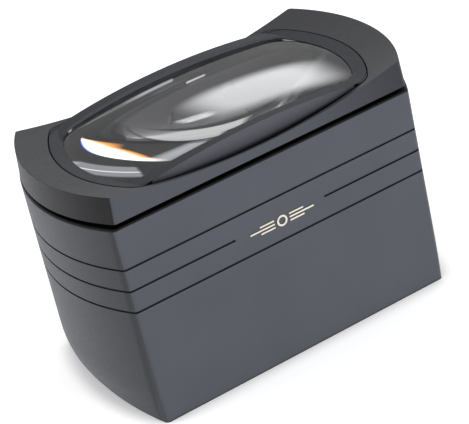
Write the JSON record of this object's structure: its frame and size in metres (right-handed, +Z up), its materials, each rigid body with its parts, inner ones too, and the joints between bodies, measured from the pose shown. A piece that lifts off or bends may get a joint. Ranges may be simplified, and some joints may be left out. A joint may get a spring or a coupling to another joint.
{
  "type": "stand magnifier",
  "caption": "Box-shaped optical stand magnifier with a sprung lens head that presses down to light lamps round its viewing well",
  "frame": {"origin": "middle of the footprint, on the surface that the stand rests on", "axes": "+X along the length, front face towards -Y, +Z up through the lens"},
  "size_m": [0.1164, 0.0618, 0.0751],
  "materials": {
    "body_plastic": "fine matte moulding",
    "cap_plastic": "fine matte moulding",
    "rim_plastic": "satin moulding",
    "lens_clear": "polished clear acrylic",
    "inner_plastic": "plain matte",
    "well_plastic": "plain matte",
    "emblem_foil": "pale champagne foil",
    "screw_steel": "zinc plated",
    "spring_steel": "drawn wire",
    "contact_metal": "nickel plated strip",
    "board_green": "solder mask",
    "led_white": "lamp body",
    "switch_plastic": "plain",
    "plunger_plastic": "plain",
    "chip_black": "plain",
    "cell_wrap": "printed film with no text",
    "wire_red": "insulation",
    "wire_black": "insulation"
  },
  "bodies": {
    "housing": {"housing_shell": "body_plastic", "light_well": "well_plastic", "base_screws": "screw_steel", "front_emblem": "emblem_foil", "led_board_front": "board_green", "led_board_back": "board_green", "leds": "led_white", "lamp_resistors": "chip_black", "battery_tray": "inner_plastic", "tray_screws": "screw_steel", "battery_cells": "cell_wrap", "contact_jumper": "contact_metal", "contact_terminals": "contact_metal", "contact_springs": "spring_steel", "switch_board": "board_green", "board_screws": "screw_steel", "switch_body": "switch_plastic", "supply_wire": "wire_red", "return_wire": "wire_black", "front_lamp_wire": "wire_red", "back_lamp_wire": "wire_red", "lamp_link_wire": "wire_black", "return_springs": "spring_steel"},
    "lens_head": {"top_cap": "cap_plastic", "lens_bezel": "rim_plastic", "lens": "lens_clear", "lens_retainer": "inner_plastic", "retainer_screws": "screw_steel", "guide_screws": "screw_steel", "guide_washers": "screw_steel"},
    "switch_plunger": {"switch_plunger": "plunger_plastic"},
    "battery_door": {"battery_door": "body_plastic"}
  },
  "joints": [
    {"name": "head_press", "type": "slide", "parent": "housing", "child": "lens_head", "axis": [0, 0, 1], "range_m": [-0.001, 0], "stiffness_N_per_m": 600, "springref_m": 0.004, "deforming": ["return_springs"]},
    {"name": "plunger_press", "type": "slide", "parent": "housing", "child": "switch_plunger", "axis": [0, 0, 1], "range_m": [-0.001, 0]},
    {"name": "battery_door_pull", "type": "slide", "parent": "housing", "child": "battery_door", "axis": [1, 0, 0], "range_m": [0, 0.03]}
  ],
  "couplings": [
    {"joint": "plunger_press", "follows": "head_press", "ratio": 1}
  ]
}
